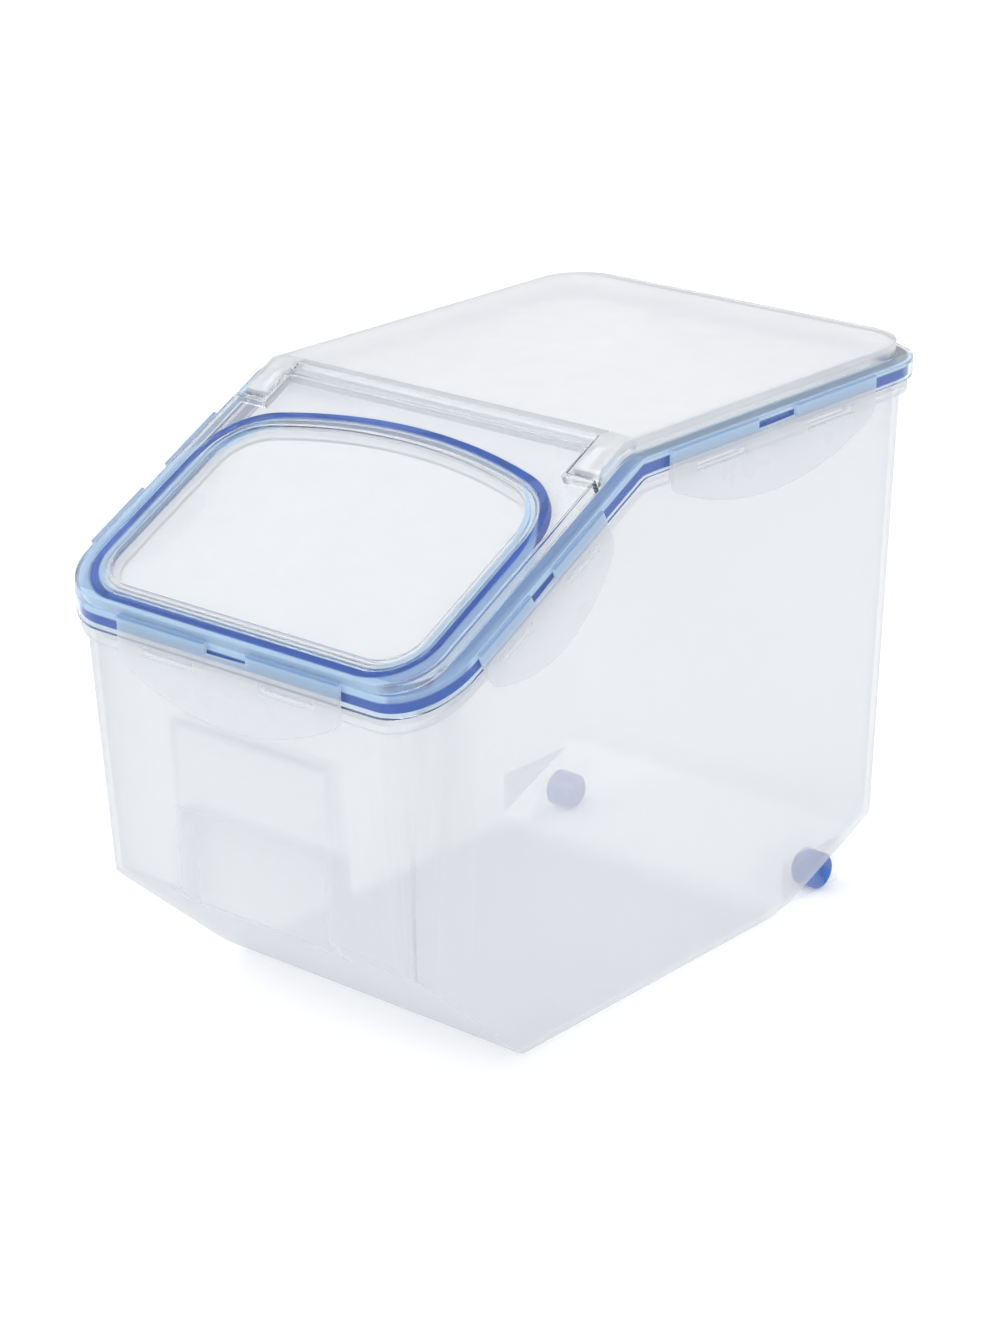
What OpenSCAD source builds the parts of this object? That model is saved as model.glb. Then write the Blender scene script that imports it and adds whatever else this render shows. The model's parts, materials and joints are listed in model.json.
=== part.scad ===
// Rice bin with a flip lid: a frosted tub on two rear wheels with a grip pocket low in its front,
// a bent snap-on lid with a raised rear plateau, and a hinged front lid over a D-shaped hole for
// pouring and scooping. Latches along the lid's edge hang over ribs on the tub.
// Millimetres, +Z up, front towards -Y. The origin is the centre of the footprint, on the floor.

/* [Outline] */
// Width across the lid skirt
lid_w = 250; // [220:1:280]
// Length along the lid skirt
lid_l = 408; // [395:1:420]
// Corner radius of the lid skirt, seen from above
corner_r = 34; // [30:1:38]
// Height of the skirt's top edge at the front
front_z = 221; // [210:1:230]
// Height of the skirt's top edge along the flat rear
flat_z = 303; // [295:1:308]
// Distance from the front to the bend in the lid
bend_y = 155; // [150:1:158]
// Radius of the bend in the lid, at its top face
bend_r = 22; // [20:0.5:23]

/* [Tub] */
// Wall thickness of the tub
wall = 2.4; // [1.8:0.1:3]
// Width of the tub's base
base_w = 202; // [198:1:206]
// Height at which the slanted lower front starts
nose_z = 77; // [60:1:80]
// Distance from the front to the front edge of the flat base
base_front = 100; // [92:1:106]
// Distance from the front to the rear edge of the flat base
base_rear = 304; // [298:1:308]
// Distance from the front to the front wall of the wheel housing
housing_front = 319; // [317:1:322]
// Height of the wheel housing
housing_z = 30.5; // [29:0.1:31.5]
// Height of the grip recess above the floor
grip_z = 168; // [150:1:172]

/* [Lid] */
// Thickness of the lid and flip-lid plates
plate = 2; // [1.6:0.1:2.4]
// Depth of the skirt below the lid's top edge
skirt_d = 10; // [9:0.5:10.5]
// Height of the raised plateau above the flat part of the lid
plateau_h = 7.5; // [7:0.5:12]
// Height of the flip lid's top face above the slope
flip_h = 7; // [6.8:0.1:7.4]

/* [Flip-lid seal] */
// Half the width of the D-shaped seal, at its centre line
seal_half = 108.2; // [100:0.1:109]
// Distance up the slope to the seal's straight front run
seal_front = 5.5; // [5.3:0.1:7]
// Distance up the slope to the top of the seal's arch
seal_top = 154; // [150:1:157]
// Width of the seal
seal_w = 4.6; // [4:0.1:5]

/* [Latches] */
// Length of the front and rear latches
end_latch_l = 145; // [120:1:150]
// Length of the latches on the slope
slope_latch_l = 100; // [80:1:104]
// Length of the latches along the flat sides
flat_latch_l = 171; // [150:1:174]
// Depth of a latch wing at its middle
wing_mid = 40; // [34:1:44]
// Depth of a latch wing at its ends
wing_end = 20; // [16:1:24]
// Thickness of a latch wing
wing_t = 2.4; // [2:0.1:3]
// Radius of a latch wing's lower corners
wing_r = 8; // [4:1:12]

/* [Wheels] */
// Radius of a wheel
wheel_r = 10.3; // [9:0.1:11]
// Width of a wheel
wheel_w = 15; // [12:0.5:16]
// Radius of the stub axles
axle_r = 3; // [2.5:0.1:3.2]

/* [Hidden] */
$fn = 48;

// Colours
frosted = "#e3ebf0";
clear = "#eef4f7";
seal_blue = "#2f5fc4";
wheel_blue = "#2348b4";

// The lid's bent line: a slope of angle pitch up to bend_y, then flat at flat_z
pitch = atan2(flat_z - front_z, bend_y);
far = 60;

// Rim: insets from the skirt's outer face, and depths below the lid's top face
skirt_t = 2;
seal_in = skirt_t + 0.3;
seal_out = 9.7;
channel_in = 10;
channel_out = 12;
channel_d = 9.5;
gasket_d = 8.7;
lip_in = 6;
lip_out = lip_in + wall;
ledge_in = 2.4;
ledge_d = 14;
ledge_h = 4;

// Tub walls lean in towards the base: insets of the wall from the skirt's outer face
tub_top_z = 300;
side_top_in = 4.9;
side_base_in = (lid_w - base_w) / 2;
front_top_in = -3.8;
front_base_in = 18.4;
rear_top_in = 5.7;
rear_base_in = 7.1;
base_round = 8;
base_front_r = 30;
nose_r = 12;
corner_top_r = 31;
corner_base_r = 8;
rear_fold_y = 399.6;
rear_fold_z = 41;
floor_t = 2.6;

// Grip pocket in the lower front: it rises behind the front wall, above the wall's lower edge
grip_depth = 13;
grip_half = 50;
grip_edge_z = 125;

// Wheel housing, brackets and wheels
wheel_gap = 33;
wheel_y = housing_front + wheel_gap + wheel_r;
cheek_in = 2.6;
cheek_x = base_w / 2 - cheek_in;
bracket_t = 2.4;
bracket_z = 2.6;
bracket_past = 0.4;
bracket_y = wheel_y + wheel_r + bracket_past;
bracket_foot = 8;
heel_y = bracket_y - 4.5;
heel_z = housing_z - 3.5;
side_gap = 0.5;
cheek_gap = 0.5;
axle_gap = 0.06;
snap_w = 5.2;
wheel_outer_x = cheek_x - cheek_gap - bracket_t - side_gap;
axle_len = wheel_w + 2 * (bracket_t + side_gap);

// Plateau on the lid
plateau_in = 9.5;
plateau_front = 161.4;
plateau_rear_in = 6;
plateau_r = 28;

// Flip lid, in slope coordinates: x across, s up the slope, h out from it
flip_half = 117;
flip_front = 0.5;
flip_shoulder = 150;
neck_half = 99;
flip_foot = 0.4;
hinge_s = 177.5;
hinge_h = 3.2;
barrel_r = 3.2;
pin_r = 1.8;
pin_gap = 0.05;
pin_l = 6.5;
window_in = 9;
window_h = 4;
window_t = 1.6;
hole_in = 11.5;
seal_rib_t = 1.5;
flip_corner_r = 28;
flip_wall_end = 171;

// Posts that hold the hinge pins, meeting the plateau's front edge
bend_s = bend_y / cos(pitch);
post_x = neck_half + 0.6;
post_s = 152;
post_top = 7;
post_rise = 3;
post_run = 6;
post_round = 1.6;
post_h = (flat_z + plateau_h - front_z) * cos(pitch) - plateau_front * sin(pitch);
post_end = (flat_z + plateau_h - front_z) * sin(pitch) + plateau_front * cos(pitch);
post_turn = post_end - (post_top - post_h) / tan(pitch);
post_root = -(post_end + 1 - bend_s) * tan(pitch) - 1;

// D-shaped seal line: bottom corners, top corners and the arch, as arcs with fixed centres
seal_corner_r = 28;
top_corner_r = 37;
arch_r = 290;
corner_x = seal_half - seal_corner_r;
top_corner_x = seal_half - top_corner_r;
arch_s = seal_top - arch_r;
top_corner_s = arch_s + sqrt(pow(arch_r - top_corner_r, 2) - top_corner_x * top_corner_x);
arch_angle = atan2(top_corner_s - arch_s, top_corner_x);

// Latches: a wing hangs from a bead at its top edge, just outside the skirt
wing_gap = 0.4;
bead_r = 1.2;
axis_out = wing_gap + bead_r;
axis_d = 0.6;
front_axis_d = -0.6;
slot_d = 12.9;
front_slot_d = 13.3;
slot_h = 4.8;
slot_from = 0.3;
slot_to = 0.78;
notch_share = 0.19;
notch_d = 5;
rib_h = 2.6;
rib_inset = 2;
rib_depth = 8;
slope_latch_s = 88.3;
flat_latch_y = 261;

function arc(c, r, a, b, n = 10) =
    [for (i = [0:n]) c + r * [cos(a + (b - a) * i / n), sin(a + (b - a) * i / n)]];

// Points of the lid's bent line at a depth d below its top face, rounded at the bend
function bent_line(d) =
    concat([[-far, front_z - far * tan(pitch) - d / cos(pitch)]],
           arc([bend_y + bend_r * tan(pitch / 2), flat_z - bend_r], bend_r - d, 90 + pitch, 90, 6),
           [[lid_l + far, flat_z - d]]);

// The D-shaped seal line, moved inwards by e
function d_line(e) =
    concat(arc([corner_x, seal_front + seal_corner_r], seal_corner_r - e, -90, 0),
           arc([top_corner_x, top_corner_s], top_corner_r - e, 0, arch_angle),
           arc([0, arch_s], arch_r - e, arch_angle, 180 - arch_angle, 24),
           arc([-top_corner_x, top_corner_s], top_corner_r - e, 180 - arch_angle, 180),
           arc([-corner_x, seal_front + seal_corner_r], seal_corner_r - e, 180, 270));

function reversed(v) = [for (i = [len(v) - 1:-1:0]) v[i]];

// Front face of the tub at height z
function face_y(z) = front_base_in + (front_top_in - front_base_in) * z / tub_top_z;

// Angles of the side outline: the front wall's lean, the slanted lower front, the heel and the tail
lean = atan2(front_base_in - front_top_in, tub_top_z);
nose = atan2(nose_z, base_front - face_y(nose_z));
heel = atan2(heel_z, heel_y - base_rear);
tail = atan2(rear_fold_z - heel_z, rear_fold_y - heel_y);
nose_centre = [face_y(nose_z), nose_z]
    + nose_r / (1 + sin(nose + lean)) * [cos(lean) + sin(nose), sin(lean) + cos(nose)];

// Height of the heel's outer face at a distance y from the front
function heel_at(y) = (y - base_rear) * tan(heel);

// Side outline of the tub below the rim, moved inwards by e
function side_points(e) =
    concat([[face_y(tub_top_z + far) + e - 1, tub_top_z + far]],
           arc(nose_centre, nose_r - e, 180 + lean, 270 - nose, 6),
           arc([base_front + base_front_r * tan(nose / 2), base_front_r],
               base_front_r - e, 270 - nose, 270, 6),
           [[base_rear - e * tan(heel / 2), e],
            [heel_y, heel_z + e / cos(heel)],
            [lid_l + far, heel_z + e / cos(heel) + (lid_l + far - heel_y) * tan(tail)],
            [lid_l + far, tub_top_z + far]]);

// Everything is drawn with y = 0 at the front face of the skirt, then centred
module placed(tint) {
    color(tint) translate([0, -lid_l / 2, 0]) children();
}

// Slope coordinates: x across, y up the slope, z out from it
module on_slope() {
    translate([0, 0, front_z]) rotate([pitch, 0, 0]) children();
}

// A side outline swept across the width
module across(points, width) {
    rotate([90, 0, 90]) linear_extrude(width, center = true) polygon(points);
}

// Rounded rectangle, centred in x
module round_rect(half, y0, y1, r) {
    for (x = [-1, 1], y = [y0 + r, y1 - r]) {
        translate([x * (half - r), y]) circle(r);
    }
    translate([-half, y0 + r]) square([2 * half, y1 - y0 - 2 * r]);
    translate([r - half, y0]) square([2 * (half - r), y1 - y0]);
}

// The skirt's outline, moved inwards by e
module outline(e) {
    round_rect(lid_w / 2 - e, e, lid_l - e, corner_r - e);
}

// Upright ring between two insets of the skirt's outline
module ring(e1, e2) {
    linear_extrude(tub_top_z + far) difference() {
        outline(e1);
        outline(e2);
    }
}

// Slab that follows the bent line between two depths
module band(d1, d2) {
    across(concat(bent_line(d1), reversed(bent_line(d2))), lid_w + far);
}

// Part of the rim: insets e1 to e2, depths d1 to d2
module rim(e1, e2, d1, d2) {
    intersection() {
        ring(e1, e2);
        band(d1, d2);
    }
}

// ---- Tub ----

// One level of the tub's leaning walls: f is 0 at the base and 1 at the top
module tub_slab(z, e) {
    f = z / tub_top_z;
    side = side_base_in + (side_top_in - side_base_in) * f + e;
    front = front_base_in + (front_top_in - front_base_in) * f + e;
    rear = rear_base_in + (rear_top_in - rear_base_in) * f + e;
    translate([0, 0, z]) linear_extrude(0.01)
        round_rect(lid_w / 2 - side, front, lid_l - rear,
                   corner_base_r + (corner_top_r - corner_base_r) * f, $fn = 32);
}

module tub_block(e, z0) {
    hull() {
        tub_slab(z0, e + base_round);
        tub_slab(z0 + base_round * 0.3, e + base_round * 0.3);
        tub_slab(z0 + base_round, e);
        tub_slab(tub_top_z, e);
    }
}

module wheel_housing(e) {
    translate([-cheek_x - e, housing_front - e, -1])
        cube([2 * (cheek_x + e), lid_l, housing_z + e + 1]);
}

// The pocket and all that lies in front of it, moved outwards by e
module grip_block(e) {
    back = grip_depth + e;
    across([[face_y(-1) + back, -1], [face_y(grip_z) + back, grip_z + e],
            [-far, grip_z + e], [-far, -1]], 2 * (grip_half + e));
}

// The pocket itself, open to the front below the wall's lower edge and open at the bottom
module grip_pocket() {
    across([[face_y(-1) + grip_depth, -1], [face_y(grip_z) + grip_depth, grip_z],
            [face_y(grip_z) + wall, grip_z], [face_y(grip_edge_z) + wall, grip_edge_z],
            [-far, grip_edge_z], [-far, -1]], 2 * grip_half);
}

module tub_shell() {
    difference() {
        intersection() {
            tub_block(0, 0);
            across(side_points(0), lid_w);
            across(concat(bent_line(ledge_d), [[lid_l + far, -far], [-far, -far]]), lid_w);
        }
        wheel_housing(0);
        grip_pocket();
        tub_hollow();
    }
}

module tub_hollow() {
    difference() {
        intersection() {
            tub_block(wall, floor_t);
            across(side_points(floor_t), lid_w);
        }
        wheel_housing(wall);
        grip_block(wall);
    }
}

// The lip under the gasket, on a ledge that stands out past the wall
module tub_rim() {
    rim(lip_in, lip_out, gasket_d, ledge_d + ledge_h);
    difference() {
        rim(ledge_in, channel_out + 1, ledge_d, ledge_d + ledge_h);
        tub_hollow();
    }
}

// A catch rib behind each slot of one latch
module ribs(half, slot = slot_d) {
    for (side = [0, 1]) {
        mirror([side, 0, 0]) translate([half * slot_from + rib_inset, 0, -slot - rib_h / 2])
            cube([half * (slot_to - slot_from) - 2 * rib_inset, rib_depth, rib_h]);
    }
}

module tub_ribs() {
    on_front() ribs(end_latch_l / 2, front_slot_d);
    on_rear() ribs(end_latch_l / 2);
    for (side = [0, 1]) {
        mirror([side, 0, 0]) {
            on_right_slope() ribs(slope_latch_l / 2);
            on_right_side() ribs(flat_latch_l / 2);
        }
    }
}

// A plate that holds one end of a stub axle, with a snap mouth below it
module bracket(x) {
    difference() {
        translate([x + bracket_t / 2, 0, 0])
            across([[base_rear + bracket_foot, heel_at(base_rear + bracket_foot) + 1],
                    [housing_front - 1, heel_at(housing_front - 1) + 1],
                    [housing_front - 1, housing_z + 1], [bracket_y, housing_z + 1],
                    [bracket_y, bracket_z]], bracket_t);
        translate([x - 1, wheel_y, wheel_r]) rotate([0, 90, 0])
            cylinder(r = axle_r + axle_gap, h = bracket_t + 2);
        translate([x - 1, wheel_y - snap_w / 2, 0]) cube([bracket_t + 2, snap_w, wheel_r]);
    }
}

module brackets() {
    for (side = [0, 1]) {
        mirror([side, 0, 0]) {
            bracket(wheel_outer_x + side_gap);
            bracket(wheel_outer_x - wheel_w - side_gap - bracket_t);
        }
    }
}

// ---- Lids ----

module plateau_outline(e) {
    half = lid_w / 2 - plateau_in - e;
    round_rect(half, plateau_front + e, lid_l - plateau_rear_in - e, plateau_r - e);
    translate([-half, plateau_front + e]) square([2 * half, 2 * plateau_r]);
}

module plateau_block() {
    translate([0, 0, flat_z - plate]) linear_extrude(plateau_h + plate) plateau_outline(0);
}

module plateau_hollow() {
    translate([0, 0, flat_z - 2 * plate]) linear_extrude(plateau_h + plate) intersection() {
        plateau_outline(plate);
        outline(channel_out);
    }
}

// The post beside the flip lid's neck, from x0 to x1 and moved inwards by e
module post(x0, x1, e) {
    on_slope() translate([(x0 + x1) / 2, 0, 0])
        across([[post_s + e, -1 - e], [post_s + post_rise + e, post_top - post_round - e],
                [post_s + post_run + e, post_top - e], [post_turn - e, post_top - e],
                [post_end - e, post_h - e], [post_end + 1 - e, post_root - e],
                [bend_s, -1 - e]], x1 - x0);
}

module lid_top() {
    difference() {
        union() {
            intersection() {
                linear_extrude(tub_top_z + far) outline(0);
                band(0, plate);
            }
            plateau_block();
            for (side = [0, 1]) {
                mirror([side, 0, 0]) post(post_x, lid_w / 2 - plateau_in, 0);
            }
        }
        plateau_hollow();
        on_slope() translate([0, 0, -2 * plate]) linear_extrude(4 * plate)
            polygon(d_line(hole_in));
        for (side = [0, 1]) {
            mirror([side, 0, 0]) {
                post(post_x + pin_l + 1, lid_w / 2 - plateau_in - plate, plate);
                hinge_line(post_x - 1, post_x + pin_l, pin_r + pin_gap);
            }
        }
    }
}

// A rod along the flip lid's hinge line, from x0 to x1
module hinge_line(x0, x1, r) {
    on_slope() translate([x0, hinge_s, hinge_h]) rotate([0, 90, 0]) cylinder(r = r, h = x1 - x0);
}

// Outline of the flip lid, moved inwards by e, with its neck up to neck_end
module flip_shape(e, neck_end) {
    half = flip_half - e;
    round_rect(half, flip_front + e, flip_shoulder - e, flip_corner_r - e);
    translate([-half, flip_shoulder / 2]) square([2 * half, flip_shoulder / 2 - e]);
    translate([e - neck_half, flip_shoulder / 2])
        square([2 * (neck_half - e), neck_end - e - flip_shoulder / 2]);
}

// A flat part of the flip lid, between two heights above the slope
module flip_layer(h0, h1) {
    on_slope() translate([0, 0, h0]) linear_extrude(h1 - h0) children();
}

module d_ring(e0, e1) {
    difference() {
        polygon(d_line(e0));
        polygon(d_line(e1));
    }
}

module flip_top() {
    flip_layer(flip_h - plate, flip_h) difference() {
        flip_shape(0, hinge_s);
        polygon(d_line(window_in));
    }
    flip_layer(window_h - window_t, flip_h - plate / 2) d_ring(window_in - plate, window_in);
    flip_layer(window_h - window_t, window_h) polygon(d_line(window_in - plate / 2));
}

module flip_edges() {
    flip_layer(flip_foot, flip_h - plate / 2) difference() {
        flip_shape(0, flip_wall_end);
        flip_shape(plate, flip_wall_end);
    }
    flip_layer(flip_foot + 1, flip_h - plate / 2)
        d_ring(seal_w / 2 + 0.3, seal_w / 2 + 0.3 + seal_rib_t);
}

// ---- Latches ----

// Frames at the middle of each latch: x along the edge, -y outwards, z = 0 at the top edge
module on_front() {
    translate([0, 0, front_z]) children();
}

module on_rear() {
    translate([0, lid_l, flat_z]) rotate([0, 0, 180]) children();
}

module on_right_side() {
    translate([lid_w / 2, flat_latch_y, flat_z]) rotate([0, 0, 90]) children();
}

module on_right_slope() {
    on_slope() translate([lid_w / 2, slope_latch_s, 0]) rotate([0, 0, 90]) children();
}

// Face of a wing: an arc along the bottom with round ends, two slots, and a notch at the top
module wing_face(half, top, slot) {
    sag = wing_mid - wing_end;
    r = (half * half + sag * sag) / (2 * sag);
    middle = r - wing_mid;
    corner_y = middle - sqrt(pow(r - wing_r, 2) - pow(half - wing_r, 2));
    turn = atan2(corner_y - middle, half - wing_r);
    difference() {
        polygon(concat([[-half, -top], [half, -top]],
                       arc([half - wing_r, corner_y], wing_r, 0, turn, 8),
                       arc([0, middle], r, turn, -180 - turn, 24),
                       arc([wing_r - half, corner_y], wing_r, -180 - turn, -180, 8)));
        for (side = [0, 1]) {
            mirror([side, 0]) translate([half * slot_from, -slot - slot_h / 2])
                square([half * (slot_to - slot_from), slot_h]);
        }
        translate([-half * notch_share, -top - notch_d]) square([2 * half * notch_share, notch_d + 1]);
    }
}

module latch(length, top = axis_d, slot = slot_d) {
    half = length / 2;
    translate([0, -wing_gap, 0]) rotate([90, 0, 0]) linear_extrude(wing_t) wing_face(half, top, slot);
    for (side = [0, 1]) {
        mirror([side, 0, 0]) translate([half * notch_share, -axis_out, -top]) rotate([0, 90, 0])
            cylinder(r = bead_r, h = half * (1 - notch_share));
    }
}

// ---- Nodes ----

module tub() {
    placed(frosted) {
        tub_shell();
        tub_rim();
        tub_ribs();
        brackets();
    }
}

module main_lid() {
    placed(clear) {
        lid_top();
        rim(0, skirt_t, 0, skirt_d);
        rim(channel_in, channel_out, 0, channel_d);
    }
}

module main_gasket() {
    placed(seal_blue) rim(seal_in, seal_out, plate, gasket_d);
}

module flip_lid() {
    placed(clear) {
        flip_top();
        flip_edges();
        hinge_line(-neck_half, neck_half, barrel_r);
        hinge_line(-neck_half - pin_l, neck_half + pin_l, pin_r);
    }
}

module flip_gasket() {
    placed(seal_blue) flip_layer(0.1, flip_h - plate) d_ring(-seal_w / 2, seal_w / 2);
}

module latch_front() {
    placed(frosted) on_front() latch(end_latch_l, front_axis_d, front_slot_d);
}

module latch_rear() {
    placed(frosted) on_rear() latch(end_latch_l);
}

module latch_slope_right() {
    placed(frosted) on_right_slope() latch(slope_latch_l);
}

module latch_slope_left() {
    placed(frosted) mirror([1, 0, 0]) on_right_slope() latch(slope_latch_l);
}

module latch_side_right() {
    placed(frosted) on_right_side() latch(flat_latch_l);
}

module latch_side_left() {
    placed(frosted) mirror([1, 0, 0]) on_right_side() latch(flat_latch_l);
}

module wheel() {
    round_over = 1.5;
    translate([wheel_outer_x - wheel_w / 2, wheel_y, wheel_r]) rotate([0, 90, 0]) {
        rotate_extrude() polygon([[0, -wheel_w / 2], [wheel_r - round_over, -wheel_w / 2],
                                  [wheel_r, round_over - wheel_w / 2],
                                  [wheel_r, wheel_w / 2 - round_over],
                                  [wheel_r - round_over, wheel_w / 2], [0, wheel_w / 2]]);
        cylinder(r = axle_r, h = axle_len, center = true);
    }
}

module wheel_right() {
    placed(wheel_blue) wheel();
}

module wheel_left() {
    placed(wheel_blue) mirror([1, 0, 0]) wheel();
}

tub();
main_lid();
main_gasket();
flip_lid();
flip_gasket();
latch_front();
latch_rear();
latch_slope_right();
latch_slope_left();
latch_side_right();
latch_side_left();
wheel_right();
wheel_left();
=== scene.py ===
# %% [markdown]
# # A rice bin with a flip lid
# This lesson dresses a finished construction model in its plastics: a frosted tub, clear
# lids, blue seals and blue wheels. The model is loaded as a fixed frame, in metres, with the
# front towards -Y, so every surface is already in its place.

# %% Load the frame
import bmesh
import bpy
import json
import math
from mathutils import Matrix, Vector
from mathutils.kdtree import KDTree


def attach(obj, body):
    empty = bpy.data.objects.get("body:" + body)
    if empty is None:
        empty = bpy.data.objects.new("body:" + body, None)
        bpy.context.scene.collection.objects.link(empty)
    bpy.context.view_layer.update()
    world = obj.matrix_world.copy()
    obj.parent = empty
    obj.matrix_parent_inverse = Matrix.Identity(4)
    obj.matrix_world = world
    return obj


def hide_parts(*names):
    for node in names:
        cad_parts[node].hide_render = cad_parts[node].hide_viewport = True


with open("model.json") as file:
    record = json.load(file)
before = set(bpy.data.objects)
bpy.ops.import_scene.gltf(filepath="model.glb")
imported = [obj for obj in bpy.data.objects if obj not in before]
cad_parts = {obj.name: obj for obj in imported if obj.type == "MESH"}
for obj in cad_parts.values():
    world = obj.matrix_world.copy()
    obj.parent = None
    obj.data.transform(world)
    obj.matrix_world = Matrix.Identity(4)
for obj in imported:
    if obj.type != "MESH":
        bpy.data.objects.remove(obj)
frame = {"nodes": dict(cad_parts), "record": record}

scene = bpy.context.scene
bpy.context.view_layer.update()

# %% [markdown]
# ## The camera
# The bin is seen from its front right, from a little above, through a long lens. The view is
# written as an azimuth, an elevation and a distance from a target point, because those are
# easy to reason about. The matrix below turns them into a camera that stands upright.

# %% Camera
AZIMUTH, ELEVATION = math.radians(40.123), math.radians(20.714)
DISTANCE = 1.76122
TARGET = Vector((0, -0.014, 0.150))
SHIFT_RIGHT, SHIFT_UP = 0.00557, 0.00741
LENS, SENSOR, FAR = 122.41, 36, 50

back = Vector((math.sin(AZIMUTH) * math.cos(ELEVATION),
               -math.cos(AZIMUTH) * math.cos(ELEVATION), math.sin(ELEVATION)))
right = Vector((math.cos(AZIMUTH), math.sin(AZIMUTH), 0))
up = back.cross(right)
eye = TARGET + SHIFT_RIGHT * right + SHIFT_UP * up + DISTANCE * back

camera = bpy.data.objects.new("camera", bpy.data.cameras.new("camera"))
scene.collection.objects.link(camera)
camera.data.sensor_fit = "HORIZONTAL"
camera.data.sensor_width = SENSOR
camera.data.lens = LENS
camera.data.clip_end = FAR
turn = Matrix((right, up, back)).transposed().to_4x4()
camera.matrix_world = Matrix.Translation(eye) @ turn
scene.camera = camera
print("camera at", [round(v, 3) for v in eye])

# %% [markdown]
# ## Shader maths as expressions
# A material is easier to read as a formula than as a list of links. This small class wraps a
# node socket: the usual operators on it add the Math nodes that work the formula out. Each
# operator has its reflected form too, so 1 - slant works as well as slant - 1.

# %% Socket maths
class Value:
    """A number that varies over a surface, carried by a node socket."""

    def __init__(self, tree, socket):
        self.tree, self.socket = tree, socket

    def _math(self, operation, *terms):
        node = self.tree.nodes.new("ShaderNodeMath")
        node.operation = operation
        for slot, term in zip(node.inputs, terms):
            if isinstance(term, Value):
                self.tree.links.new(term.socket, slot)
            else:
                slot.default_value = term
        return Value(self.tree, node.outputs[0])

    def __add__(self, other):
        return self._math("ADD", self, other)

    def __radd__(self, other):
        return self._math("ADD", other, self)

    def __sub__(self, other):
        return self._math("SUBTRACT", self, other)

    def __rsub__(self, other):
        return self._math("SUBTRACT", other, self)

    def __mul__(self, other):
        return self._math("MULTIPLY", self, other)

    def __rmul__(self, other):
        return self._math("MULTIPLY", other, self)

    def __truediv__(self, other):
        return self._math("DIVIDE", self, other)

    def __rtruediv__(self, other):
        return self._math("DIVIDE", other, self)

    def __pow__(self, other):
        return self._math("POWER", self, other)

    def __rpow__(self, other):
        return self._math("POWER", other, self)

    def at_least(self, low):
        return self._math("MAXIMUM", self, low)

    def at_most(self, high):
        return self._math("MINIMUM", self, high)


print("socket maths ready: + - * / **, at_least and at_most")

# %% [markdown]
# ## Recipes
# Everything else in a material comes from one method that takes a node's type, its settings
# and the values or links of its inputs. The same recipe class serves materials and the world:
# it empties the owner's node tree, collects the nodes and links the last shader to the output.

# %% Recipe
class Recipe:
    """The node tree of a material or a world, emptied and ready for nodes."""

    def __init__(self, owner, output="ShaderNodeOutputMaterial"):
        owner.use_nodes = True
        self.owner, self.tree = owner, owner.node_tree
        self.tree.nodes.clear()
        self.output = self.tree.nodes.new(output)

    def node(self, kind, settings=None, out=0, **inputs):
        """Adds a node; inputs are socket names, with _ for a space, or i0, i1 for places."""
        node = self.tree.nodes.new(kind)
        for key, value in (settings or {}).items():
            setattr(node, key, value)
        for key, value in inputs.items():
            by_place = key[0] == "i" and key[1:].isdigit()
            slot = node.inputs[int(key[1:]) if by_place else key.replace("_", " ")]
            if isinstance(value, Value):
                self.tree.links.new(value.socket, slot)
            else:
                slot.default_value = value
        return Value(self.tree, node.outputs[out])

    def larger(self, a, b):
        return a._math("MAXIMUM", a, b)

    def finish(self, shader):
        self.tree.links.new(shader.socket, self.output.inputs["Surface"])
        return self.owner


def material(name):
    return Recipe(bpy.data.materials.new(name))


print("recipes ready")

# %% [markdown]
# ## Where on the bin a point lies
# The lid is bent: a slope in front, then a flat rear. Most finishes change with the distance
# from that bent top line, so two small helpers work out, from a point's own place on its
# piece, how far it lies below the bent line, and its place up the slope and out from it.
# The places are those of the resting bin and ride with each piece, so nothing slides when a
# lid opens. Painted masks would do the same, but they would need unwrapped surfaces.

# %% Places on the bin
RISE, RUN = 0.082, 0.155
PITCH = math.atan2(RISE, RUN)
FRONT_Y, FRONT_Z, FLAT_Z = -0.204, 0.221, 0.303


def place(r):
    """x, y and z of a point on its piece, in metres."""
    where = r.node("ShaderNodeTexCoord", out=3)
    parts = r.node("ShaderNodeSeparateXYZ", Vector=where)
    return [Value(r.tree, parts.socket.node.outputs[i]) for i in range(3)]


def on_slope(r):
    """Across, up the slope, and out from it, in metres."""
    x, y, z = place(r)
    y, z = y - FRONT_Y, z - FRONT_Z
    return x, y * math.cos(PITCH) + z * math.sin(PITCH), z * math.cos(PITCH) - y * math.sin(PITCH)


def below_lid(r):
    """How far a point lies below the lid's bent top line."""
    x, y, z = place(r)
    across, along, out = on_slope(r)
    return (FLAT_Z - z).at_most(-1 * out)


def ramp(value, low, high):
    """0 below low, 1 above high, and a straight line between."""
    return ((value - low) / (high - low)).at_least(0.0).at_most(1.0)


def from_middle(r, x):
    """A distance without its sign: the same on the left and on the right of a middle."""
    return r.larger(x, -1 * x)


print("pitch of the slope in degrees", round(math.degrees(PITCH), 2))

# %% [markdown]
# ## Distance from the D-shaped seal
# The flip lid's seal is a D: a straight front run, two straight sides and an arch at the top.
# Its distance is put together from four rounded corners, two with the front run and two with
# the arch. It tells where painted light from the seal falls on the clear plastic.

# %% Distance from the seal
SEAL_FRONT, SEAL_TOP, SEAL_HALF = 0.0055, 0.154, 0.1082
LOW_R, HIGH_R, ARCH_R = 0.028, 0.037, 0.290


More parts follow.
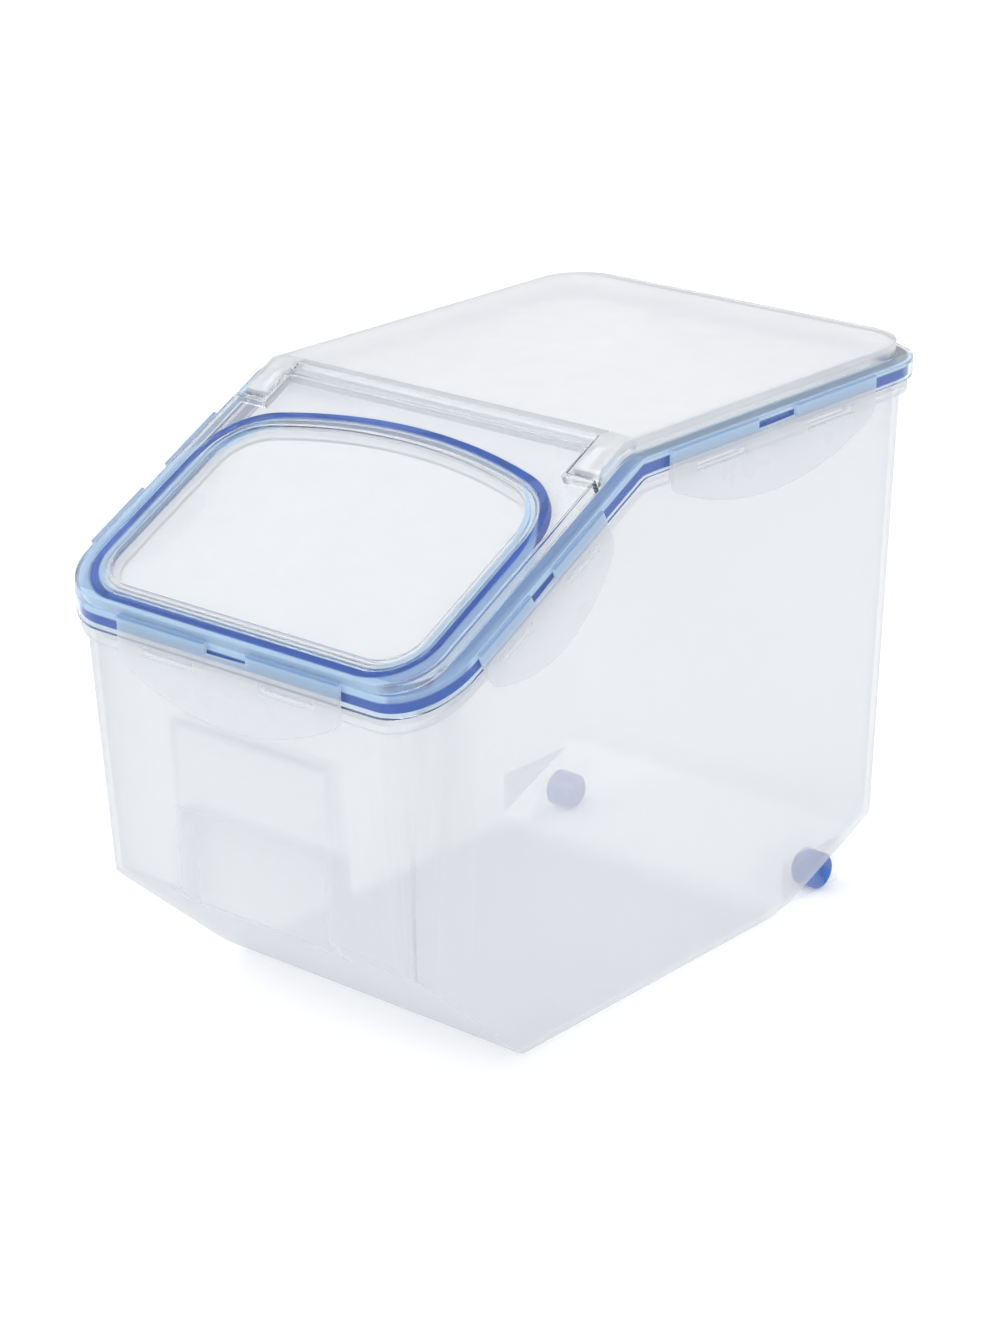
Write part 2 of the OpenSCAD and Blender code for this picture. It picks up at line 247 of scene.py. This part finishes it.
def round_corner(r, a, b, radius):
    """Signed distance from a corner of that radius, between the sides a = 0 and b = 0."""
    a, b = a + radius, b + radius
    outside = (a.at_least(0.0) ** 2 + b.at_least(0.0) ** 2) ** 0.5
    return outside + r.larger(a, b).at_most(0.0) - radius


def from_flip_seal(r):
    """Distance from the D-shaped seal's line: below 0 inside the D, above 0 outside it."""
    across, along, out = on_slope(r)
    side = from_middle(r, across) - SEAL_HALF
    arch = (across * across + (along - (SEAL_TOP - ARCH_R)) ** 2) ** 0.5 - ARCH_R
    return r.larger(round_corner(r, side, SEAL_FRONT - along, LOW_R),
                    round_corner(r, side, arch, HIGH_R))


def tinted(r, near, plain, blue):
    """The plain colour, turned towards the blue one where near is 1."""
    return r.node("ShaderNodeMix", {"data_type": "RGBA"}, out=2, i0=near,
                  i6=(*plain, 1), i7=(*blue, 1))


print("D-shaped seal, half width in metres", SEAL_HALF)

# %% [markdown]
# ## Frosted plastic
# The tub and the latches are unpigmented polypropylene. A volume inside a solid would be the
# physical way to make it, but thin walls need many samples then. Here each skin lets most of
# the light straight through and scatters the rest, so what lies behind stays visible under a
# milky veil. Seen at a slant, the light runs further inside the wall, so the veil thickens
# towards the outlines. That is the law of absorption: what passes is exp(-depth / cos).
# Part of what a skin scatters goes on inwards, so the light fills the tub. A faint, large
# mottle in the gloss and a very fine grain keep it from looking painted.
#
# A skin of full thickness passes at most MOST_THROUGH of the light. That limit was set against a
# faint diagonal line, which the side walls show from azimuth 60 and 300. The line is still there
# and its cause is not known. The limit stays, because the tints were chosen with it.

# %% Frosted plastic
PASSED_ON = 0.45
LEAST_FACING = 0.15
MOST_THROUGH = 0.745
# Painted light from the blue seals, and painted shade in the gap above each latch.
LIT_BY_SEAL = (0.58, 0.79, 1.0)
HINGE_SHADE = (0.13, 0.30, 0.62)


def frosted(name, tint, veil, roughness, share_of_veil, lit_of=None, shade_of=None):
    r = material(name)
    where = r.node("ShaderNodeTexCoord", out=3)
    mottle = r.node("ShaderNodeTexNoise", Vector=where, Scale=28.0, Detail=3.0)
    fine = r.node("ShaderNodeTexNoise", Vector=where, Scale=900.0, Detail=2.0)
    normal = r.node("ShaderNodeBump", Height=fine, Strength=0.08, Distance=0.0002)
    slant = r.node("ShaderNodeLayerWeight", out=1, Blend=0.5)
    share = share_of_veil(r)
    through = math.e ** (-1 * (veil * share) / (1 - slant).at_least(LEAST_FACING))
    through = through.at_most(MOST_THROUGH + (1 - MOST_THROUGH) * ramp(share, 0.9, 0.5))
    colour = (*tint, 1)
    # The masks turn the colour towards painted light from the seal and painted shade at the
    # hinge.
    if lit_of:
        lit = tinted(r, lit_of(r), tint, LIT_BY_SEAL)
        colour = r.node("ShaderNodeMix", {"data_type": "RGBA"}, out=2, i0=shade_of(r),
                        i6=lit, i7=(*HINGE_SHADE, 1))
    face = r.node("ShaderNodeBsdfPrincipled", Base_Color=colour,
                  Roughness=roughness * (0.9 + 0.2 * mottle), IOR=1.49,
                  Specular_IOR_Level=0.4, Normal=normal)
    glow = r.node("ShaderNodeBsdfTranslucent", Color=(*tint, 1))
    skin = r.node("ShaderNodeMixShader", i0=PASSED_ON, i1=face, i2=glow)
    clear = r.node("ShaderNodeBsdfTransparent")
    return r.finish(r.node("ShaderNodeMixShader", i0=through, i1=skin, i2=clear))


print("frosted skins pass at most", MOST_THROUGH)

# %% [markdown]
# ## The tub's veil
# A moulded tub is not equally thick all over. The wheel housing is thin and clear and the front
# corners are thick. In the grip pocket the veil also paints light and shade: the hidden top gets
# a thinner veil and looks bright, painted light, and the open part below a heavier one and looks
# dark, painted shade. All of that is one number over the surface, the share of the full veil,
# made of ramps along x, y and z. One skin with a varying veil keeps the tub a single piece.

# %% Tub veil
HOUSING_X, HOUSING_Y, HOUSING_Z = 0.0980, 0.1110, 0.0335
POCKET_X, POCKET_FLOOR, POCKET_SPLIT = 0.055, 0.066, 0.122


def tub_veil(r):
    """Share of the full veil: thin at the housing, thick at corners, painted light at the
    pocket's top and painted shade below it.
    """
    x, y, z = place(r)
    housing = ramp(x * x, (HOUSING_X + 0.0003) ** 2, HOUSING_X ** 2)
    housing = housing * ramp(y, HOUSING_Y, HOUSING_Y + 0.001)
    housing = housing * ramp(z, HOUSING_Z + 0.001, HOUSING_Z)
    pocket = ramp(x * x, (POCKET_X + 0.002) ** 2, POCKET_X ** 2)
    pocket = pocket * ramp(y, -0.1915, -0.1900) * ramp(y, -0.176, -0.178)
    # Painted light at the pocket's hidden top, painted shade in its open part below.
    top = pocket * ramp(z, POCKET_SPLIT - 0.001, POCKET_SPLIT + 0.001)
    low = pocket * ramp(z, POCKET_FLOOR, POCKET_FLOOR + 0.002)
    low = low * ramp(z, POCKET_SPLIT + 0.001, POCKET_SPLIT - 0.001)
    corner = ramp(from_middle(r, x), 0.084, 0.106) * ramp(y, -0.150, -0.175)
    corner = corner * ramp(z, 0.030, 0.060)
    return 1 - 0.75 * housing - 0.65 * top + 0.8 * low + 0.6 * corner


tub_plastic = frosted("frosted_tub", (0.845, 0.861, 0.889), 0.25, 0.34, tub_veil)
print("tub plastic", tub_plastic.name)

# %% [markdown]
# ## The latches' painted seal light and hinge shade
# Each latch is a thin wing that hangs from its lid, in front of the blue main seal. On the
# real bin the clear plastic gathers the seal's light there: a light-blue strip along the
# hinge, with a line of shade where the wing meets the lid. Tracing that light would take very
# long, so the strip is painted light and the line is painted shade, both by the distance below
# the hinge. The front latch stands a little lower against the bent line than the others, so its
# distance is shifted.

# %% Latch plastic
FRONT_SHIFT = 0.0019


def below_hinge(r):
    """How far a point of a latch lies below the bent line at its own hinge."""
    x, y, z = place(r)
    return below_lid(r) + FRONT_SHIFT * ramp(y, -0.2000, -0.2010)


def painted_seal_light(r):
    """Painted light from the main seal on the top of a latch, which lies in front of the seal."""
    return ramp(below_hinge(r), 0.0066, 0.0050)


def painted_hinge_shade(r):
    """Painted shade in the gap above a latch, where it meets the lid."""
    return ramp(below_hinge(r), 0.0006, 0.0001)


def latch_veil(r):
    """A latch's veil is heavier along its top, where it hangs from the lid, so that its painted
    seal light and painted hinge shade show.
    """
    return 1 + 1.2 * painted_seal_light(r) + 2.0 * painted_hinge_shade(r)


latch_plastic = frosted("frosted_latch", (0.90, 0.915, 0.94), 0.36, 0.28, latch_veil,
                        painted_seal_light, painted_hinge_shade)
print("latch plastic", latch_plastic.name)

# %% [markdown]
# ## Clear plastic
# The lids are the same plastic with polished faces, so they bend light like glass, and the
# blue seals under them show as bright and dark lines along every edge. Their broad faces are
# finely textured in the mould and look milky. A frosted skin would lose the polished edges and
# plain glass would lose the milk, so each lid mixes the two by a haze over its surface.
# Shadow rays pass nearly straight through, because a lamp's light would otherwise never reach
# the seals.

# %% Clear plastic
SHADOW_PASSED = 0.9
# The glass's tint where painted light from the seals falls.
GLASS_LIT_BY_SEAL = (0.82, 0.92, 1.0)
MILK = (0.88, 0.895, 0.92)


def clear_plastic(name, plain, haze_of, painted_seal_light_of, roughness):
    r = material(name)
    where = r.node("ShaderNodeTexCoord", out=3)
    mottle = r.node("ShaderNodeTexNoise", Vector=where, Scale=22.0, Detail=3.0)
    # blue marks where painted light from the seals turns the glass and the milk light blue.
    haze, blue = haze_of(r), painted_seal_light_of(r)
    glass = r.node("ShaderNodeBsdfPrincipled",
                   Base_Color=tinted(r, blue, plain, GLASS_LIT_BY_SEAL),
                   Roughness=roughness * (0.8 + 0.4 * mottle), IOR=1.4,
                   Transmission_Weight=1.0)
    milk = r.node("ShaderNodeBsdfPrincipled", Roughness=0.3,
                  Base_Color=tinted(r, blue, MILK, LIT_BY_SEAL))
    body = r.node("ShaderNodeMixShader", i0=(haze * (0.9 + 0.2 * mottle)).at_most(1.0),
                  i1=glass, i2=milk)
    shadow = r.node("ShaderNodeLightPath", out=1)
    clear = r.node("ShaderNodeBsdfTransparent")
    return r.finish(r.node("ShaderNodeMixShader", i0=shadow * SHADOW_PASSED,
                           i1=body, i2=clear))


print("clear plastic lets", SHADOW_PASSED, "of each shadow ray through")

# %% [markdown]
# ## The rims of the lids
# Polished plastic gathers light at its edges, and a rim over a blue seal glows light blue.
# Both are painted: a painted highlight along the last millimetre of a rim, and painted light
# from the seal on the flat band above the main seal. They are written as distances, like
# everything else here, so they need no texture.

# %% Rims
CLEAREST = 0.02


def painted_rim_highlight(r):
    """1 along the last millimetre of a lid's rim: a painted highlight, where light gathers into a
    bright line.
    """
    x, y, z = place(r)
    return r.larger(ramp(from_middle(r, x), 0.1243, 0.1249), ramp(y, -0.2026, -0.2032))


def main_lid_painted_seal_light(r):
    """Painted light from the main seal on the rim: the flat faces outside the plateau and the
    posts.
    """
    x, y, z = place(r)
    edge = ramp(from_middle(r, x), 0.1145, 0.1165)
    front = ramp(y, -0.190, -0.193)
    return r.larger(edge, front) * ramp(z, 0.3045, 0.3035)


print("clearest haze", CLEAREST)

# %% [markdown]
# ## The main lid
# The raised plateau is nearly white, the two hinge posts are milky, and the flange around
# them is a little hazy. Over the main seal the flange gets painted light from the seal, and at
# its outer edge the most haze, as a painted highlight. The skirt below stays clear, so that
# the blue seal shows through it at full strength.

# %% Main lid plastic
def main_lid_haze(r):
    x, y, z = place(r)
    across, along, out = on_slope(r)
    plateau = ramp(z, 0.3035, 0.3075)
    posts = ramp(out, 0.0032, 0.0040) * ramp(y, -0.036, -0.038)
    rim = 0.16 + 0.20 * main_lid_painted_seal_light(r) + 0.35 * painted_rim_highlight(r)
    flange = ramp(below_lid(r), 0.0030, 0.0022) * rim
    return CLEAREST + flange + 0.44 * r.larger(plateau, 0.9 * posts)


main_plastic = clear_plastic("clear_main_lid", (0.98, 0.985, 0.99), main_lid_haze,
                             main_lid_painted_seal_light, 0.07)
print("main lid plastic", main_plastic.name)

# %% [markdown]
# ## The flip lid
# Its window is half milky. Around the window runs the D-shaped seal, which has to stay a clear
# dark line, with a light-blue strip of painted light from the seal on each side. The distance
# from the seal's line gives both: no haze over the seal itself, some beside it.

# %% Flip lid plastic
SEAL_HALF_WIDTH = 0.0023
FADE = 0.0015


def flip_lid_painted_seal_light(r):
    """Painted light from the seal: a strip on each side of it, narrower inside, and at the arch
    only inside.
    """
    across, along, out = on_slope(r)
    away = from_flip_seal(r)
    reach = 0.0025 + 0.0065 * ramp(along, 0.125, 0.100)
    sides = ramp(across * across, 0.080 ** 2, 0.095 ** 2)
    inner = 0.0040 + 0.0035 * sides
    return ramp(inner + away, 0.0, FADE) * ramp(reach - away, 0.0, FADE)


def flip_lid_haze(r):
    across, along, out = on_slope(r)
    window = ramp(out, 0.0045, 0.0041) * ramp(across * across, 0.1005 ** 2, 0.0985 ** 2)
    window = window * ramp(along, 0.0135, 0.0150)
    off_seal = ramp(from_middle(r, from_flip_seal(r)), SEAL_HALF_WIDTH, 0.0032)
    beside = flip_lid_painted_seal_light(r) * off_seal
    return CLEAREST + (0.28 + 0.25 * painted_rim_highlight(r)) * beside + 0.30 * window


flip_plastic = clear_plastic("clear_flip_lid", (0.93, 0.94, 0.955), flip_lid_haze,
                             flip_lid_painted_seal_light, 0.05)
print("flip lid plastic", flip_plastic.name)

# %% [markdown]
# ## Blue rubber and blue plastic
# The seals are soft silicone, matt with a faint powdery variation. The wheels are a harder
# moulded plastic, glossier and a little lighter. Both are opaque, so one recipe serves them:
# a colour that wanders between two close blues, and a fine grain in the normal.

# %% Blue materials
def blue(name, colour, roughness):
    r = material(name)
    where = r.node("ShaderNodeTexCoord", out=3)
    mottle = r.node("ShaderNodeTexNoise", Vector=where, Scale=120.0, Detail=4.0)
    fine = r.node("ShaderNodeTexNoise", Vector=where, Scale=1500.0, Detail=1.0)
    normal = r.node("ShaderNodeBump", Height=fine, Strength=0.15, Distance=0.0002)
    dark = [0.86 * c for c in colour]
    paint = r.node("ShaderNodeMix", {"data_type": "RGBA"}, out=2, i0=mottle,
                   i6=(*dark, 1), i7=(*colour, 1))
    skin = r.node("ShaderNodeBsdfPrincipled", Base_Color=paint,
                  Roughness=roughness * (0.85 + 0.3 * mottle),
                  Specular_IOR_Level=0.25, Normal=normal)
    return r.finish(skin)


seal_rubber = blue("blue_seal", (0.015, 0.105, 0.50), 0.5)
wheel_plastic = blue("blue_wheel", (0.025, 0.165, 0.66), 0.3)
print("blue materials", seal_rubber.name, wheel_plastic.name)

# %% [markdown]
# ## Softened edges
# The construction solids have knife-sharp edges, and moulded plastic never has. A bevel over
# every edge would fold where edges lie closer together than the bevel is wide, and a bevel
# limited by angle alone can't know that. So the edges are chosen one by one and marked with a
# weight: only those sharper than a set angle, so smooth curves are left alone, and only those
# with room beside them. First the triangles are merged back into flat faces.

# %% Edges to round
SHARP, BLADE = math.radians(33), math.radians(150)
ROOM = 0.0011
SAME_POINT, SAME_PLANE = 2e-6, math.radians(0.4)


def weigh_edges(mesh):
    """Merges the flat faces and marks the edges that get a bevel."""
    bm = bmesh.new()
    bm.from_mesh(mesh)
    bmesh.ops.remove_doubles(bm, verts=bm.verts, dist=SAME_POINT)
    bmesh.ops.dissolve_limit(bm, angle_limit=SAME_PLANE, verts=bm.verts, edges=bm.edges)
    corners = KDTree(len(bm.verts))
    for vert in bm.verts:
        corners.insert(vert.co, vert.index)
    corners.balance()
    weight = bm.edges.layers.float.new("bevel_weight_edge")
    marked = 0
    for edge in bm.edges:
        room = min(corners.find_n(vert.co, 2)[1][2] for vert in edge.verts)
        if room > ROOM and SHARP < edge.calc_face_angle(0) < BLADE:
            edge[weight] = 1.0
            marked += 1
    bm.to_mesh(mesh)
    bm.free()
    return marked


print("edges get a bevel with more room than", ROOM, "m")

# %% [markdown]
# ## The bevel itself
# Two segments are enough to catch a highlight at this size. Faces are smooth across gentle
# edges and sharp across the rest, set before the bevel so that its own strips blend in.
# Normals weighted by area keep the large faces flat right up to their rounded edges. Both
# modifiers are applied, so the piece is a plain mesh.

# %% Rounded mesh
def round_edges(piece, width):
    mesh = piece.data
    for face in mesh.polygons:
        face.use_smooth = True
    mesh.set_sharp_from_angle(angle=SHARP)
    bevel = piece.modifiers.new("edges", "BEVEL")
    bevel.limit_method, bevel.segments = "WEIGHT", 2
    bevel.width, bevel.use_clamp_overlap = width, False
    bevel.miter_outer = "MITER_ARC"
    flat = piece.modifiers.new("flat_faces", "WEIGHTED_NORMAL")
    flat.keep_sharp = True
    bpy.context.view_layer.update()
    done = bpy.data.meshes.new_from_object(
        piece.evaluated_get(bpy.context.evaluated_depsgraph_get()))
    piece.modifiers.clear()
    piece.data = done


print("bevels will have 2 segments")

# %% [markdown]
# ## A softened copy of every solid
# Each solid gets a copy that stands for it. The copy rides on the body that the record names
# for the solid and replaces it. The large shells have finer ribs than the other pieces and
# get a slightly smaller bevel.

# %% Softened copies
def softened(node_name, width):
    mesh = frame["nodes"][node_name].data.copy()
    mesh.name = node_name + "_soft"
    marked = weigh_edges(mesh)
    piece = bpy.data.objects.new(node_name + "_soft", mesh)
    scene.collection.objects.link(piece)
    round_edges(piece, width)
    record = frame["record"]
    body = next(b for b, names in record["behaviour"]["bodies"].items() if node_name in names)
    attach(piece, body)
    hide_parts(node_name)
    print("softened", node_name, marked, "edges,", len(piece.data.polygons), "faces")
    return piece


SHELL_BEVEL, PLAIN_BEVEL = 0.0004, 0.0005
SHELLS = ("tub", "main_lid", "flip_lid")
shown = {}
for name in frame["nodes"]:
    shown[name] = softened(name, SHELL_BEVEL if name in SHELLS else PLAIN_BEVEL)

# %% [markdown]
# ## Dressing
# Every copy gets one material. The six latches share the frosted latch plastic, so it is the
# one that is given to any piece not in the list.

# %% Dress the pieces
finishes = {"tub": tub_plastic, "main_lid": main_plastic, "flip_lid": flip_plastic,
            "main_gasket": seal_rubber, "flip_gasket": seal_rubber,
            "wheel_right": wheel_plastic, "wheel_left": wheel_plastic}
for name, piece in shown.items():
    piece.data.materials.clear()
    piece.data.materials.append(finishes.get(name, latch_plastic))
print("dressed", sorted(shown))

# %% [markdown]
# ## The floor
# The setting is a plain white sweep. The floor keeps the bin's shadow: it takes the lamps'
# light as usual, and adds a little light of its own for rays that come from the camera, or
# through or off the plastic, so that its lit part comes out white. Raising the lamps instead
# would bleach the bin. The floor lies a hair below the bin's base, so their faces don't clash.

# %% Floor
def white_for_camera(r):
    """1 for rays from the camera and those that passed through or off a piece."""
    seen = r.node("ShaderNodeLightPath", out=0)
    glossy = r.node("ShaderNodeLightPath", out=3)
    passed = r.node("ShaderNodeLightPath", out=6)
    return (seen + glossy + passed).at_most(1.0)


FLOOR_HALF, FLOOR_LIFT, FLOOR_DROP = 6.0, 0.25, 0.0002
r = material("pale_floor")
lift = white_for_camera(r)
matt = r.node("ShaderNodeBsdfPrincipled", Base_Color=(0.93, 0.93, 0.93, 1), Roughness=0.8,
              Specular_IOR_Level=0.1)
glow = r.node("ShaderNodeEmission", Strength=FLOOR_LIFT)
lifted = r.node("ShaderNodeAddShader", i0=matt, i1=glow)
floor_finish = r.finish(r.node("ShaderNodeMixShader", i0=lift, i1=matt, i2=lifted))

mesh = bpy.data.meshes.new("floor")
mesh.from_pydata([(x, y, 0) for x, y in ((-FLOOR_HALF, -FLOOR_HALF), (FLOOR_HALF, -FLOOR_HALF),
                                         (FLOOR_HALF, FLOOR_HALF), (-FLOOR_HALF, FLOOR_HALF))],
                 [], [(0, 1, 2, 3)])
floor = bpy.data.objects.new("floor", mesh)
scene.collection.objects.link(floor)
mesh.materials.append(floor_finish)
floor.location.z = -FLOOR_DROP
print("floor", 2 * FLOOR_HALF, "m wide")

# %% [markdown]
# ## The world
# An even, pale world fills the frosted tub with soft light from all sides. The same rays that
# see the floor lifted see the world at a strength of 1, which is white.

# %% World
WORLD_LIGHT = 0.72
r = Recipe(bpy.data.worlds.new("studio"), "ShaderNodeOutputWorld")
seen = white_for_camera(r)
soft = r.node("ShaderNodeBackground", Color=(1, 1, 1, 1), Strength=WORLD_LIGHT)
white = r.node("ShaderNodeBackground", Color=(1, 1, 1, 1), Strength=1.0)
scene.world = r.finish(r.node("ShaderNodeMixShader", i0=seen, i1=soft, i2=white))
print("world light", WORLD_LIGHT)

# %% [markdown]
# ## Lamps
# Three broad, weak area lamps stand around the bin: a key from the front left, a fill from
# the front right and a rim lamp from behind, which brightens the edges. Light has to cross
# many clear skins here, so rays may pass more of them than usual.

# %% Lamps
BIN_MIDDLE = (0, 0, 0.12)


def lamp(name, place, size, watts):
    data = bpy.data.lights.new(name, "AREA")
    data.shape, data.size, data.energy = "SQUARE", size, watts
    obj = bpy.data.objects.new(name, data)
    scene.collection.objects.link(obj)
    obj.location = place
    aim = Vector(BIN_MIDDLE) - Vector(place)
    obj.rotation_euler = aim.to_track_quat("-Z", "Y").to_euler()
    print("lamp", name, watts, "W")


lamp("key", (-1.6, -1.8, 2.4), 1.6, 26)
lamp("fill", (2.2, -1.2, 1.4), 1.8, 9)
lamp("rim", (0.5, 2.4, 2.2), 1.6, 12)
scene.cycles.transparent_max_bounces = 32
scene.cycles.max_bounces = 16
scene.cycles.transmission_bounces = 16
scene.view_settings.view_transform = "Standard"
